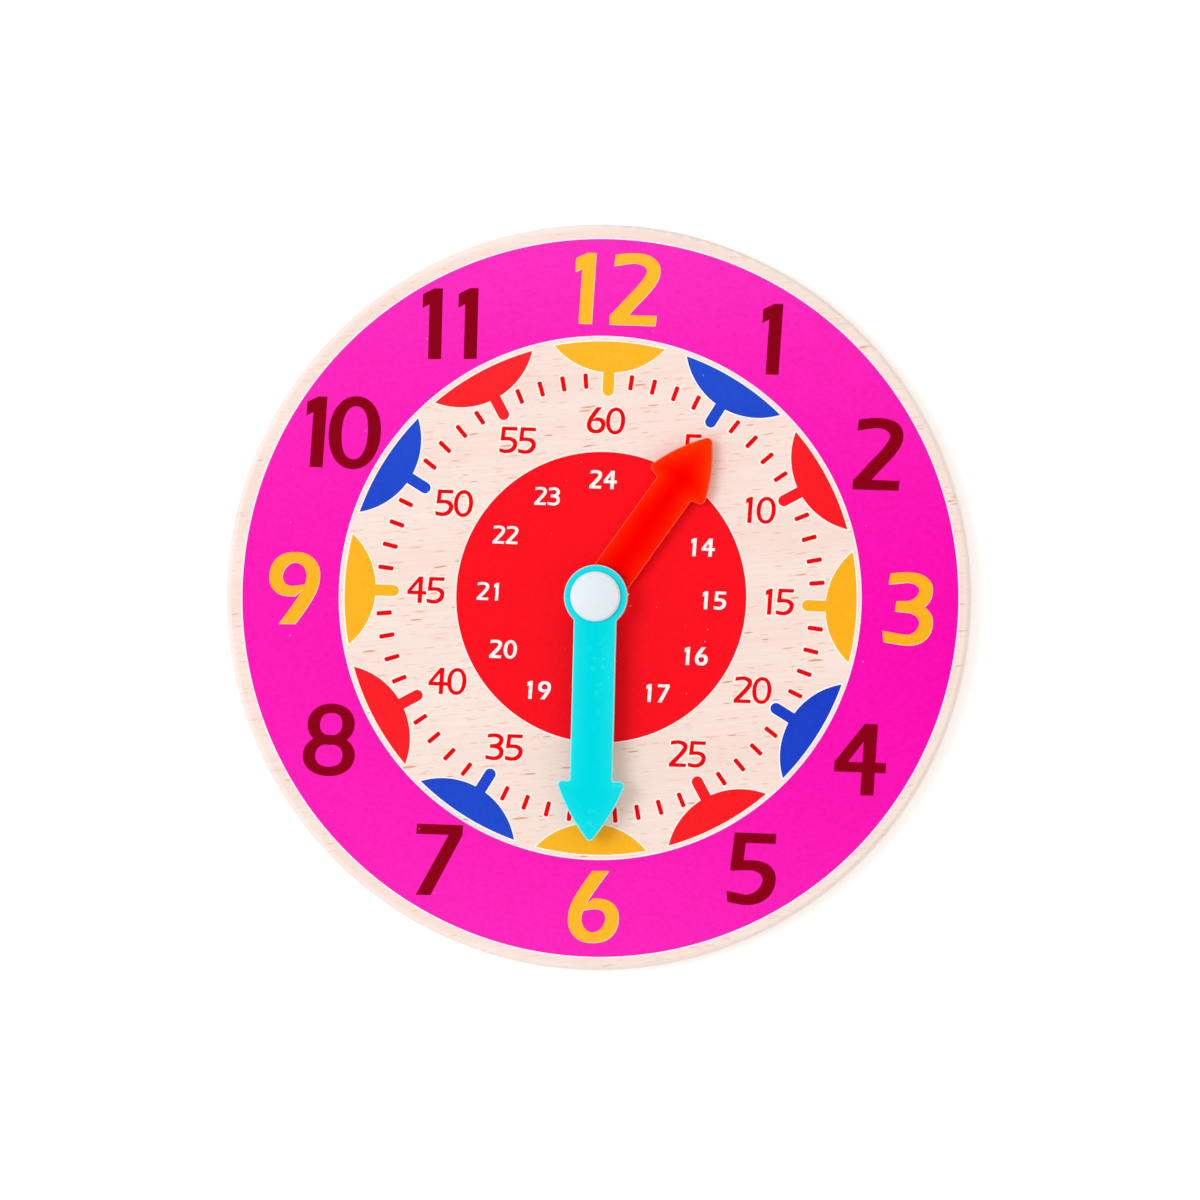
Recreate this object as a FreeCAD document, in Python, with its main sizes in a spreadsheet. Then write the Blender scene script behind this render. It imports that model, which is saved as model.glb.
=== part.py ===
import FreeCAD, Part
import math
import os
import re

import Sketcher

# Teaching clock: a round wooden dial board that carries two moulded hands on one snap-together pivot.
#
# The board lies flat with its back on z = 0 and its face towards +Z. Twelve o'clock is towards +Y,
# and the pivot's axis is the Z axis. Everything is in millimetres and degrees.
#
# From the back to the front the pivot is stacked like this:
#   rear_socket flange, rear_washer, dial_board, dial_washer, hour_hand, mid_washer, minute_hand,
#   front_cap head. The socket's barrel runs up through the stack and sets its height, and the cap's
#   split stem runs down the barrel and latches behind a shoulder in it.

SIZES = {
    # wooden board
    "board_diameter": 150.0,
    "board_thickness": 5.0,
    "face_edge_round": 1.0,
    "back_edge_bevel": 0.5,
    # rear socket
    "socket_inset": 0.5,            # how far the flange lies inside the back of the board
    "flange_diameter": 13.0,
    "flange_thickness": 1.6,
    "flange_bevel": 0.3,
    "barrel_diameter": 6.0,
    "barrel_wall": 0.85,
    "barrel_lead_in": 0.25,
    "latch_recess_depth": 1.4,      # from the flange's back to the shoulder that the barbs catch on
    # washers
    "rear_washer_diameter": 12.0,
    "rear_washer_thickness": 0.5,
    "dial_washer_diameter": 12.0,
    "dial_washer_thickness": 1.0,
    "mid_washer_diameter": 11.0,
    "mid_washer_thickness": 0.6,
    # both hands
    "hub_diameter": 12.8,
    "hand_thickness": 1.8,
    "hand_bevel": 0.35,             # along the front edge
    "neck_round": 0.7,              # inner corners between the hub and the shaft
    # hour hand, with its head's sizes taken to the sharp corners before they are rounded
    "hour_shaft_width": 8.4,
    "hour_point": 39.7,             # from the pivot to the point
    "hour_head_length": 13.0,       # from the shaft's end to the point
    "hour_head_width": 13.7,
    "hour_head_sweep": 0.7,         # how far the barbs lean forward of the shaft's end
    "hour_head_bulge": 0.6,        # how far each side of the head bows out
    "hour_corner_round": 1.0,
    "hour_inner_round": 0.5,
    "hour_angle": 33.6,             # clockwise from twelve o'clock
    # minute hand
    "minute_shaft_width": 8.6,
    "minute_point": 49.6,
    "minute_head_length": 12.5,
    "minute_head_width": 14.2,
    "minute_head_sweep": -0.1,
    "minute_head_bulge": 0.58,
    "minute_corner_round": 0.9,
    "minute_inner_round": 0.4,
    "minute_angle": 179.3,
    # front cap
    "cap_diameter": 10.0,
    "cap_rim_height": 0.9,
    "cap_crown_height": 1.9,
    "cap_bevel": 0.35,
    "barb_catch": 0.4,              # how far a barb stands out from the stem
    "barb_land": 0.3,
    "nose_taper": 0.4,              # how far the nose draws in from the stem
    "nose_length": 0.7,
    "slot_width": 0.9,
    "slot_length": 5.0,
    # clearances
    "running_clearance": 0.05,      # radial, between a hand's bore and the barrel
    "end_float": 0.05,              # along the axis, on each side of a hand
    "bore_clearance": 0.15,         # radial, between the barrel and the wood
    "recess_clearance": 0.5,        # radial, round the flange
    "washer_clearance": 0.1,        # radial, between a washer and the barrel
    "stem_clearance": 0.05,         # radial, between the cap's stem and the barrel
    "latch_clearance": 0.05,        # along the axis, between the barbs and their shoulder
    "barb_clearance": 0.2,          # radial, between the barbs and their recess
}

# Heights above the back of the board, and sizes that follow from the ones above.
FLANGE_FRONT = "socket_inset + flange_thickness"
RECESS_DEPTH = f"{FLANGE_FRONT} + rear_washer_thickness"
HOUR_BACK = "board_thickness + dial_washer_thickness + end_float"
MID_WASHER_BACK = f"{HOUR_BACK} + hand_thickness + end_float"
MINUTE_BACK = f"{MID_WASHER_BACK} + mid_washer_thickness + end_float"
BARREL_TOP = f"{MINUTE_BACK} + hand_thickness + end_float"
LATCH_SHOULDER = "socket_inset + latch_recess_depth"
LATCH_DROP = f"{BARREL_TOP} - ({LATCH_SHOULDER}) + latch_clearance"
STEM_BORE_RADIUS = "barrel_diameter / 2 - barrel_wall"
STEM_RADIUS = f"{STEM_BORE_RADIUS} - stem_clearance"
STEM_LENGTH = f"{LATCH_DROP} + barb_land + nose_length"
BARB_RADIUS = f"{STEM_RADIUS} + barb_catch"

DOME = "dome"    # marks the side of an outline that rises to a crown

doc = FreeCAD.newDocument("teaching_clock")
sheet = doc.addObject("Spreadsheet::Sheet", "sizes")
for row, (alias, number) in enumerate(SIZES.items(), start=1):
    sheet.set(f"A{row}", alias)
    sheet.set(f"B{row}", str(number))
    sheet.setAlias(f"B{row}", alias)
doc.recompute()


def from_sheet(expression):
    """The same expression with each size's name made a reference to its cell."""
    return re.sub(r"[a-z_]+", lambda name: f"sizes.{name.group()}", expression)


def value(expression):
    """The number that an expression of sizes has now."""
    return float(sheet.evalExpression(from_sheet(expression)))


def bind(thing, name, expression):
    """Ties one property of a feature, or one constraint of a sketch, to sizes in the sheet."""
    thing.setExpression(name, from_sheet(expression))


def new_body(label, height="0", clockwise=None):
    """A body named label, lifted to height and turned clockwise about the pivot."""
    body = doc.addObject("PartDesign::Body", label)
    body.Label = label
    if clockwise:
        turn = FreeCAD.Rotation(FreeCAD.Vector(0, 0, -1), value(clockwise))
        body.Placement = FreeCAD.Placement(FreeCAD.Vector(), turn)
    if height != "0":
        bind(body, "Placement.Base.z", height)
    return body


def new_sketch(body, name, plane="XY_Plane"):
    """A sketch on one of the body's own origin planes."""
    sketch = body.newObject("Sketcher::SketchObject", name)
    support = next(one for one in body.Origin.OriginFeatures if one.Role == plane)
    sketch.AttachmentSupport = (support, "")
    sketch.MapMode = "FlatFace"
    return sketch


def own(place):
    """How a constraint names the sketch's own origin, or its axis across or upwards."""
    return {"origin": (-1, 1), "across": (-1,), "upward": (-2,)}[place]


def add_circle(sketch, diameter, name):
    """A circle round the pivot's axis with a bound diameter."""
    circle = Part.Circle(FreeCAD.Vector(), FreeCAD.Vector(0, 0, 1), value(diameter) / 2)
    index = sketch.addGeometry(circle)
    sketch.addConstraint(Sketcher.Constraint("Coincident", index, 3, *own("origin")))
    dimension = sketch.addConstraint(Sketcher.Constraint("Diameter", index, value(diameter)))
    sketch.renameConstraint(dimension, name)
    bind(sketch, f"Constraints.{name}", diameter)


def place_point(sketch, index, end, across, upward):
    """Dimensions one end of a line or arc from the sketch's origin, or puts it on an axis."""
    for kind, distance, axis in (("DistanceX", across, "upward"), ("DistanceY", upward, "across")):
        if distance == "0":
            sketch.addConstraint(Sketcher.Constraint("PointOnObject", index, end, *own(axis)))
        else:
            rule = Sketcher.Constraint(kind, *own("origin"), index, end, value(distance))
            dimension = sketch.addConstraint(rule)
            bind(sketch, f"Constraints[{dimension}]", distance)


def bowed(start, end, bow):
    """The arc from start to end whose middle lies bow to the right of the straight line."""
    along = (end - start).normalize()
    middle = (start + end) / 2 + FreeCAD.Vector(along.y, -along.x, 0) * bow
    return Part.ArcOfCircle(start, middle, end)


def domed(rim, crown):
    """The arc from rim to crown, a point on the upward axis, that is level at the crown."""
    rise = crown.y - rim.y
    radius = (rim.x ** 2 + rise ** 2) / (2 * rise)
    centre = FreeCAD.Vector(0, crown.y - radius, 0)
    middle = centre + ((rim + crown) / 2 - centre).normalize() * radius
    return Part.ArcOfCircle(rim, middle, crown)


def bow_radius(start, end, bow):
    """The radius of a bowed arc between two corners, as an expression."""
    across = f"(({end[0]}) - ({start[0]}))"
    upward = f"(({end[1]}) - ({start[1]}))"
    return f"({across} ^ 2 + {upward} ^ 2) / 8 / ({bow}) + ({bow}) / 2"


def add_outline(sketch, corners):
    """A closed outline through corners, each a pair of expressions.

    A third entry shapes the side that starts at its corner. DOME is an arc that rises to a crown on the
    upward axis. Any other entry is how far the middle of a bowed side lies to the right of the
    straight line.
    """
    points = [FreeCAD.Vector(value(across), value(upward), 0) for across, upward, *_ in corners]
    ends = []
    for side, (start, corner) in enumerate(zip(points, corners)):
        following = (side + 1) % len(points)
        shape = corner[2] if len(corner) > 2 else None
        if shape is None:
            curve = Part.LineSegment(start, points[following])
        elif shape == DOME:
            curve = domed(start, points[following])
        else:
            curve = bowed(start, points[following], value(shape))
        index = sketch.addGeometry(curve)
        forward = curve.StartPoint.distanceToPoint(start) < 1e-6
        ends.append((index, 1, 2) if forward else (index, 2, 1))
        if shape == DOME:
            sketch.addConstraint(Sketcher.Constraint("PointOnObject", index, 3, *own("upward")))
        elif shape is not None:
            radius = sketch.addConstraint(Sketcher.Constraint("Radius", index, curve.Radius))
            bind(sketch, f"Constraints[{radius}]", bow_radius(corner, corners[following], shape))
    for side, (across, upward, *_) in enumerate(corners):
        index, first, _ = ends[side]
        before, _, last = ends[side - 1]
        sketch.addConstraint(Sketcher.Constraint("Coincident", before, last, index, first))
        place_point(sketch, index, first, across, upward)


def pad(body, sketch, name, length):
    """Thickens a sketch upwards by a bound length."""
    feature = body.newObject("PartDesign::Pad", name)
    feature.Profile = sketch
    bind(feature, "Length", length)


def volume_so_far(body):
    """The volume of the body as it stands."""
    doc.recompute()
    return body.Tip.Shape.Volume


def confirm_cut(body, feature, before):
    """Stops the build if a feature that should take material away took none."""
    if volume_so_far(body) > before - 1e-6:
        raise RuntimeError(f"{feature.Label} cut nothing from {body.Label}")


def cut(body, sketch, name, depth=None):
    """Cuts a sketch upwards into the body, by a bound depth or right through."""
    before = volume_so_far(body)
    feature = body.newObject("PartDesign::Pocket", name)
    feature.Profile = sketch
    feature.Reversed = True
    if depth is None:
        feature.Type = "ThroughAll"
    else:
        bind(feature, "Length", depth)
    confirm_cut(body, feature, before)


def revolve(body, sketch, name):
    """Turns a sketch on the XZ plane once round the pivot's axis."""
    feature = body.newObject("PartDesign::Revolution", name)
    feature.Profile = sketch
    feature.ReferenceAxis = (sketch, ["V_Axis"])
    feature.Angle = 360


def dress(body, kind, name, chosen):
    """A fillet or chamfer on those edges of the body so far for which chosen(edge) is true."""
    doc.recompute()
    base = body.Tip
    edges = [f"Edge{number}" for number, edge in enumerate(base.Shape.Edges, start=1)
             if not edge.Degenerated and chosen(edge)]
    feature = body.newObject(kind, name)
    feature.Base = (base, edges)
    return feature


def round_off(body, name, radius, chosen):
    """Rounds the chosen edges."""
    bind(dress(body, "PartDesign::Fillet", name, chosen), "Radius", radius)


def bevel(body, name, size, chosen):
    """Chamfers the chosen edges."""
    bind(dress(body, "PartDesign::Chamfer", name, chosen), "Size", size)


def is_ring(edge, radius, height):
    """True for a full circle of this radius at this height in the body's own frame."""
    circle = isinstance(edge.Curve, Part.Circle) and edge.isClosed()
    return circle and abs(edge.Curve.Radius - radius) < 1e-4 and abs(edge.BoundBox.ZMin - height) < 1e-4


def is_upright(edge):
    """True for a straight edge parallel to the pivot's axis."""
    box = edge.BoundBox
    return box.ZLength > 1e-3 and box.XLength < 1e-4 and box.YLength < 1e-4


def make_dial_board():
    """The round board, rounded in front and bevelled behind, bored and recessed for the rear socket."""
    body = new_body("dial_board")
    blank = new_sketch(body, "blank_outline")
    add_circle(blank, "board_diameter", "outside")
    pad(body, blank, "blank", "board_thickness")

    bore_circle = new_sketch(body, "bore_circle")
    add_circle(bore_circle, "barrel_diameter + 2 * bore_clearance", "bore")
    cut(body, bore_circle, "pivot_bore")

    recess_circle = new_sketch(body, "recess_circle")
    add_circle(recess_circle, "flange_diameter + 2 * recess_clearance", "recess")
    cut(body, recess_circle, "flange_recess", RECESS_DEPTH)

    radius, thickness = value("board_diameter / 2"), value("board_thickness")
    round_off(body, "face_edge", "face_edge_round", lambda edge: is_ring(edge, radius, thickness))
    bevel(body, "back_edge", "back_edge_bevel", lambda edge: is_ring(edge, radius, 0))
    return body


def make_washer(label, diameter, thickness, height):
    """A flat ring round the barrel."""
    body = new_body(label, height)
    rings = new_sketch(body, f"{label}_rings")
    add_circle(rings, diameter, "outside")
    add_circle(rings, "barrel_diameter + 2 * washer_clearance", "hole")
    pad(body, rings, f"{label}_ring", thickness)
    return body


def make_rear_socket():
    """The flanged, hollow barrel, with a wider recess in the flange for the barbs."""
    body = new_body("rear_socket", "socket_inset")
    half_section = new_sketch(body, "socket_half_section", "XZ_Plane")
    recess_radius = f"{BARB_RADIUS} + barb_clearance"
    barrel_top = f"{BARREL_TOP} - socket_inset"
    add_outline(half_section, [
        (recess_radius, "0"),
        ("flange_diameter / 2", "0"),
        ("flange_diameter / 2", "flange_thickness"),
        ("barrel_diameter / 2", "flange_thickness"),
        ("barrel_diameter / 2", barrel_top),
        (STEM_BORE_RADIUS, barrel_top),
        (STEM_BORE_RADIUS, "latch_recess_depth"),
        (recess_radius, "latch_recess_depth"),
    ])
    revolve(body, half_section, "flange_and_barrel")

    flange_radius = value("flange_diameter / 2")
    bevel(body, "flange_edge", "flange_bevel", lambda edge: is_ring(edge, flange_radius, 0))

    bore_radius, top = value(STEM_BORE_RADIUS), value(barrel_top)
    bevel(body, "stem_lead_in", "barrel_lead_in", lambda edge: is_ring(edge, bore_radius, top))
    return body


def make_hand(which, height):
    """A moulded hand: a round hub, a straight shaft and an arrowhead with bowed sides."""
    body = new_body(f"{which}_hand", height, f"{which}_angle")
    hub_circle = new_sketch(body, f"{which}_hub_circle")
    add_circle(hub_circle, "hub_diameter", "hub")
    pad(body, hub_circle, f"{which}_hub", "hand_thickness")

    half_width = f"{which}_shaft_width / 2"
    head_start = f"{which}_point - {which}_head_length"
    shaft_outline = new_sketch(body, f"{which}_shaft_outline")
    add_outline(shaft_outline, [
        (f"-({half_width})", "0"),
        (half_width, "0"),
        (half_width, head_start),
        (f"-({half_width})", head_start),
    ])
    pad(body, shaft_outline, f"{which}_shaft", "hand_thickness")

    barb = f"{which}_head_width / 2"
    barb_height = f"{head_start} + {which}_head_sweep"
    bulge = f"{which}_head_bulge"
    head_outline = new_sketch(body, f"{which}_head_outline")
    add_outline(head_outline, [
        (f"-({half_width})", head_start),
        (half_width, head_start),
        (barb, barb_height, bulge),
        ("0", f"{which}_point", bulge),
        (f"-({barb})", barb_height),
    ])
    pad(body, head_outline, f"{which}_head", "hand_thickness")

    bore_circle = new_sketch(body, f"{which}_bore_circle")
    add_circle(bore_circle, "barrel_diameter + 2 * running_clearance", "bore")
    cut(body, bore_circle, f"{which}_bore")

    hub_reach, shaft_edge, start = value("hub_diameter / 2"), value(half_width), value(head_start)

    def is_neck(edge):
        """True where the hub's round wall meets the shaft."""
        return is_upright(edge) and 0 < edge.BoundBox.YMin < hub_reach

    def is_inner_corner(edge):
        """True where the back of the head meets the shaft."""
        box = edge.BoundBox
        return is_upright(edge) and abs(box.YMin - start) < 1e-4 and abs(abs(box.XMin) - shaft_edge) < 1e-4

    def is_outer_corner(edge):
        """True at the point and at both barbs."""
        return is_upright(edge) and edge.BoundBox.YMin > hub_reach and not is_inner_corner(edge)

    round_off(body, f"{which}_outer_corners", f"{which}_corner_round", is_outer_corner)
    round_off(body, f"{which}_inner_corners", f"{which}_inner_round", is_inner_corner)
    round_off(body, f"{which}_neck", "neck_round", is_neck)

    bore_radius, front = value("barrel_diameter / 2 + running_clearance"), value("hand_thickness")

    def is_front_rim(edge):
        """True for an edge of the outside outline in the front face."""
        box = edge.BoundBox
        level = box.ZLength < 1e-4 and abs(box.ZMin - front) < 1e-4
        return level and max(math.hypot(point.X, point.Y) for point in edge.Vertexes) > bore_radius + 1e-3

    bevel(body, f"{which}_front_edge", "hand_bevel", is_front_rim)
    return body


def make_front_cap():
    """The domed cap with its stem, split in four below and ending in barbs."""
    body = new_body("front_cap", BARREL_TOP)
    half_section = new_sketch(body, "cap_half_section", "XZ_Plane")
    cap_radius = "cap_diameter / 2"
    barb_foot = f"-({LATCH_DROP} + barb_land)"
    add_outline(half_section, [
        ("0", f"-({STEM_LENGTH})"),
        (f"{STEM_RADIUS} - nose_taper", f"-({STEM_LENGTH})"),
        (BARB_RADIUS, barb_foot),
        (BARB_RADIUS, f"-({LATCH_DROP})"),
        (STEM_RADIUS, f"-({LATCH_DROP})"),
        (STEM_RADIUS, "0"),
        (cap_radius, "0"),
        (cap_radius, "cap_rim_height", DOME),
        ("0", "cap_crown_height"),
    ])
    revolve(body, half_section, "cap_and_stem")

    radius, rim = value(cap_radius), value("cap_rim_height")
    bevel(body, "cap_edge", "cap_bevel", lambda edge: is_ring(edge, radius, rim))

    slot_outline = new_sketch(body, "slot_outline", "XZ_Plane")
    slot_top = f"-({STEM_LENGTH} - slot_length)"
    slot_foot = f"-({STEM_LENGTH} + slot_width)"
    add_outline(slot_outline, [
        ("-slot_width / 2", slot_foot),
        ("slot_width / 2", slot_foot),
        ("slot_width / 2", slot_top),
        ("-slot_width / 2", slot_top),
    ])
    whole = volume_so_far(body)
    slot = body.newObject("PartDesign::Pocket", "slot")
    slot.Profile = slot_outline
    slot.Type = "ThroughAll"
    slot.Midplane = True
    confirm_cut(body, slot, whole)

    one_slot = volume_so_far(body)
    slots = body.newObject("PartDesign::PolarPattern", "cross_slots")
    slots.Originals = [slot]
    slots.Axis = (half_section, ["V_Axis"])
    slots.Angle = 90
    slots.Occurrences = 2
    body.Tip = slots
    confirm_cut(body, slots, one_slot)
    return body


bodies = [
    make_dial_board(),
    make_rear_socket(),
    make_washer("rear_washer", "rear_washer_diameter", "rear_washer_thickness", FLANGE_FRONT),
    make_washer("dial_washer", "dial_washer_diameter", "dial_washer_thickness", "board_thickness"),
    make_hand("hour", HOUR_BACK),
    make_washer("mid_washer", "mid_washer_diameter", "mid_washer_thickness", MID_WASHER_BACK),
    make_hand("minute", MINUTE_BACK),
    make_front_cap(),
]
doc.recompute()

for thing in doc.Objects:
    if "Invalid" in thing.State or "Error" in thing.State:
        raise RuntimeError(f"{thing.Label} did not build: {thing.State}")

os.makedirs("parts", exist_ok=True)
for body in bodies:
    if body.Shape.isNull() or not body.Shape.isValid():
        raise RuntimeError(f"{body.Label} is not a valid solid")
    body.Shape.exportStep(f"parts/{body.Label}.step")
    heights = [corner.Z for corner in body.Shape.Vertexes]
    print(f"{body.Label:12s} {body.Shape.Volume:10.2f} mm3  z {min(heights):.3f} to {max(heights):.3f}")
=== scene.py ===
"""Looks of the teaching clock: a printed beech dial with two moulded hands on a snap pivot.

Shapes are worked out in millimetres, as numpy arrays, and turned into metres when they become meshes.
The board lies on z = 0, its face looks towards +Z, and twelve o'clock is towards +Y.
"""
import math

import bmesh
import bpy
import numpy as np
from mathutils import Matrix, Vector
from mathutils.geometry import delaunay_2d_cdt


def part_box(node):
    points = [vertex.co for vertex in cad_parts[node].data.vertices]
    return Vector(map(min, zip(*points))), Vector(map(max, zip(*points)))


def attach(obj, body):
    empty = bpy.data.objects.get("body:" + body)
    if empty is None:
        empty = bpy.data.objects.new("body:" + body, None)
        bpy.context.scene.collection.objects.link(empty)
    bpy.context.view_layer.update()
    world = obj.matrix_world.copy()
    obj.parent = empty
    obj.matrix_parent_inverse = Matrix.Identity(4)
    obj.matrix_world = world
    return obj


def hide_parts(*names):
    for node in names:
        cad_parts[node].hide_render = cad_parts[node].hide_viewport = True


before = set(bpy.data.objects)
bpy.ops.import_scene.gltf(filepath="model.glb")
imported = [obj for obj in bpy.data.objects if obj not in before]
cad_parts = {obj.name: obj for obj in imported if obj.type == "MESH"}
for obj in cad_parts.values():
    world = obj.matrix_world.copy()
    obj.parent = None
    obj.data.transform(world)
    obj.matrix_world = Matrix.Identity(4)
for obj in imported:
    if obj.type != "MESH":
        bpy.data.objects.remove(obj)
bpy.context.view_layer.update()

MM = 0.001

# board
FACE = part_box("dial_board")[1].z / MM
BORE_RADIUS = 3.15              # of the hole for the pivot
PAINTED_RIM_LIGHT = (73.5, 74.4)       # radii from which and to which its edge is painted paler: painted light on the rounded rim
GRAIN_TURN = 7.0                # direction of the grain, anticlockwise from three o'clock

# print: its centre lies a little to the right of the pivot, and some colours a little off that
PRINT_SHIFT = (0.51, -0.16)
MARK_SHIFT = (0.6, -0.2)        # half-moons and minute ticks
DISC_SHIFT = (0.75, -0.03)
NUMERAL_COAT_SLIP = (0.1, -0.1)     # how far the first coat of the yellow hours is out of register
UNDERPRINT_TOP = 0.03           # how far each coat of ink stands above the wood
INK_TOP = 0.05
NUMERAL_COAT_TOP = 0.065
OVERPRINT_TOP = 0.08
UNDERPRINT_MARGIN = 0.26        # how far the pale first coat shows round each colour
DISC_HOLE = 1.2                 # how far the disc's ink stops short of the bore
COAT_HOLE = 1.4                 # how far the disc's first coat does

RING_INNER, RING_OUTER = 52.74, 72.22
CENTRE_RADIUS = 29.26
MOON_OUTER = 51.65              # radius of a half-moon's outer side, about the print's centre
MOON_BOWL = 14.8                # radius of its inner side
MOON_BOWL_AT = 60.22            # distance of that side's own centre from the print's centre
POINTER_WIDTH = 2.24
POINTER_TIP = 40.7
TICK_FROM, TICK_TO = 42.2, 45.3
TICK_WIDTH = 0.9
TICK_CORNER = 0.3

# numerals: height, stem and bar of each size, and how far their uprights lean to the right
HOUR_STYLE = (14.4, 2.62, 2.02)
MINUTE_STYLE = (5.33, 0.865, 0.745)
DAY_STYLE = (3.65, 0.68, 0.55)
LIGHT_DAY_STYLE = (3.57, 0.6, 0.49)
LIGHT_DAYS = ("21", "22", "23")
LEAN = 0.031
FULLNESS, COUNTER_FULLNESS = 1.06, 1.16     # how square bowls and counters are: 1 is an ellipse

# Each numeral: its text, its turn clockwise in degrees, its foot's height, each digit's left edge.
HOUR_NUMERALS = (
    ("12", 0, 55.08, -6.42, -0.22), ("1", 0, 46.12, 31.67), ("2", 0, 23.66, 50.02),
    ("3", 0, -7.15, 57.21), ("4", 0, -37.75, 48.43), ("5", 0, -60.54, 27.8),
    ("6", -2, -69.34, -4.27), ("7", 0, -61.04, -35.2),
    ("8", 0, -37.75, -58.69), ("9", -2, -7.43, -67.13), ("10", 0, 24.24, -59.59, -56.05),
    ("11", -2.4, 47.12, -36.8, -29.6),
)
MINUTE_NUMERALS = (
    ("5", 0, 28.26, 15.75), ("10", 0, 16.14, 29.08, 30.86), ("15", 0, -2.15, 33.73, 35.51),
    ("20", 0, -20.1, 27.67, 31.35), ("25", 0, -33.41, 15.13, 18.94), ("30", 0, -38.33, -3.75, 0.1),
    ("35", 0, -33.4, -21.94, -18), ("40", 0, -20.53, -33.96, -30.2), ("45", 0, -2.35, -38.93, -34.99),
    ("50", 0, 15.31, -33.89, -30.21), ("55", 0, 28.43, -21.44, -17.68), ("60", 0, 33.02, -4.02, -0.16),
)
DAY_NUMERALS = (
    ("13", 0, 18.22, 9.95, 11.79), ("14", 0, 9.08, 18.27, 20.14), ("15", 0, -1.51, 20.99, 22.97),
    ("16", 0, -12.84, 17.76, 19.58), ("17", 0, -20.56, 10.33, 12.37), ("18", 0, -24.48, -1.95, -0.11),
    ("19", 0, -20.81, -13.7, -11.85), ("20", 0, -12.86, -21.89, -19.03),
    ("21", 0, -1.28, -24.87, -21.16), ("22", 0, 10.19, -22.09, -19.4),
    ("23", 0, 18.27, -13.97, -11.3), ("24", 0, 21.97, -3, -0.13),
)
YELLOW_HOURS = ("12", "3", "6", "9")

# hands, with the same sizes as the solids that they stand for
HUB_RADIUS = 6.4
HAND_BORE = 3.05
NECK_ROUND = 0.7
HOUR_HAND = dict(shaft=8.4, point=39.7, head=13.0, width=13.7, sweep=0.7, bulge=0.6, corner=1.0,
                 inner=0.5, clockwise=33.6)
MINUTE_HAND = dict(shaft=8.6, point=49.6, head=12.5, width=14.2, sweep=-0.1, bulge=0.58, corner=0.9,
                   inner=0.4, clockwise=179.3)
EDGE_ROUND = 0.42               # along a hand's front edge
BACK_ROUND = 0.12
CROWN = 0.07                    # how much a hand's front falls from its middle to its edge
CROWN_REACH = 1.6
RIM_REACH = 1.5                 # how far in from its outline a hand's painted glow and painted edge highlight fade
MESH_STEP = 0.8                 # between the points inside a hand's front
MESH_CLEAR = (0.4, 0.5)         # how far they keep from its rounded edge and from its bore
GATE_MARK = (5.9, 0.3, 0.45)    # stub on the minute hand's hub: direction in degrees, reach, half width
GATE_HIGHLIGHT = 0.9                # how much of the edge's painted glow and painted highlight the stub has
GATE_ROOT = 0.3                 # how deep the stub goes into the hub
LIGHT_DEPTH = 1.2               # how far light reaches into the hands' plastic
CAP_HIGHLIGHT_FROM = 4.8                   # radius from which the cap is painted a little paler and pinkish: a painted highlight on its rounded edge

# camera, floor and light
VIEW_WIDTH = 241.4              # what the camera takes in, at the dial
DIAL_TURN = 2.16                # how far the dial is turned clockwise, in degrees
VIEW_TILT = 4.4                 # how far the camera stands off the dial's axis, in degrees
VIEW_FROM = -14.0               # the side that the camera stands on, in degrees from the right
VIEW_DISTANCE = 4000.0
AIM = (0.51, -0.61)             # what the camera points at, to the right of and above the pivot
FLOOR_REACH = (74.45, 2000.0)   # radii between which there is a floor: the inner one is the flat back's
FLOOR_LIFT = 0.25               # glow of the floor where it is seen directly
ROOM_LEVEL = 0.725              # light from all round, where 1 shows white as white
ROOM_TINT = (1.05, 1.0, 0.94, 1.0)
WHITE = (1.0, 1.0, 1.0, 1.0)


# ---------------------------------------------------------------- flat outlines

def arc(radius, start, stop, steps, centre=(0.0, 0.0)):
    """Points on a circle from angle start to stop in degrees: centre + radius * (cosine, sine)."""
    turn = np.radians(np.linspace(start, stop, steps + 1))
    return np.column_stack([np.cos(turn), np.sin(turn)]) * radius + centre


def turned(points, clockwise):
    """The points turned clockwise about the origin by an angle in degrees."""
    c, s = math.cos(math.radians(clockwise)), math.sin(math.radians(clockwise))
    return points @ np.array([[c, -s], [s, c]])


def span(start, stop, steps, fullness):
    """Points on one span of a path between two nodes (x, y, heading).

    It is a cubic that leaves and arrives along the two headings. Its handles are fullness times the
    share 4/3 tan(turn/4) / tan(turn/2) of the way to where the headings cross, which makes a quarter of
    an ellipse from a right angle. Where the headings are parallel it is a straight line or a slow S.
    """
    a, b = np.array(start[:2], float), np.array(stop[:2], float)
    leaving, arriving = (np.radians(node[2]) for node in (start, stop))
    u, v = (np.array([math.cos(h), math.sin(h)]) for h in (leaving, arriving))
    chord = b - a
    across = u[0] * v[1] - u[1] * v[0]
    to_first = to_second = np.linalg.norm(chord) / 3
    if abs(across) > 1e-3:
        reach_a = (chord[0] * v[1] - chord[1] * v[0]) / across
        reach_b = (u[0] * chord[1] - u[1] * chord[0]) / across
        if reach_a > 0 and reach_b > 0:
            turn = abs(math.atan2(across, u @ v))
            share = fullness * 4 / 3 * math.tan(turn / 4) / math.tan(turn / 2)
            to_first, to_second = share * reach_a, share * reach_b
    t = np.linspace(0, 1, steps + 1)[:, None]
    return ((1 - t) ** 3 * a + 3 * (1 - t) ** 2 * t * (a + u * to_first)
            + 3 * (1 - t) * t ** 2 * (b - v * to_second) + t ** 3 * b)


def path(nodes, steps=10, fullness=1.0):
    """Points through nodes (x, y, heading), span after span, each node once."""
    spans = [span(start, stop, steps, fullness)[:-1] for start, stop in zip(nodes, nodes[1:])]
    return np.vstack(spans + [np.array([nodes[-1][:2]], float)])


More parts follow.
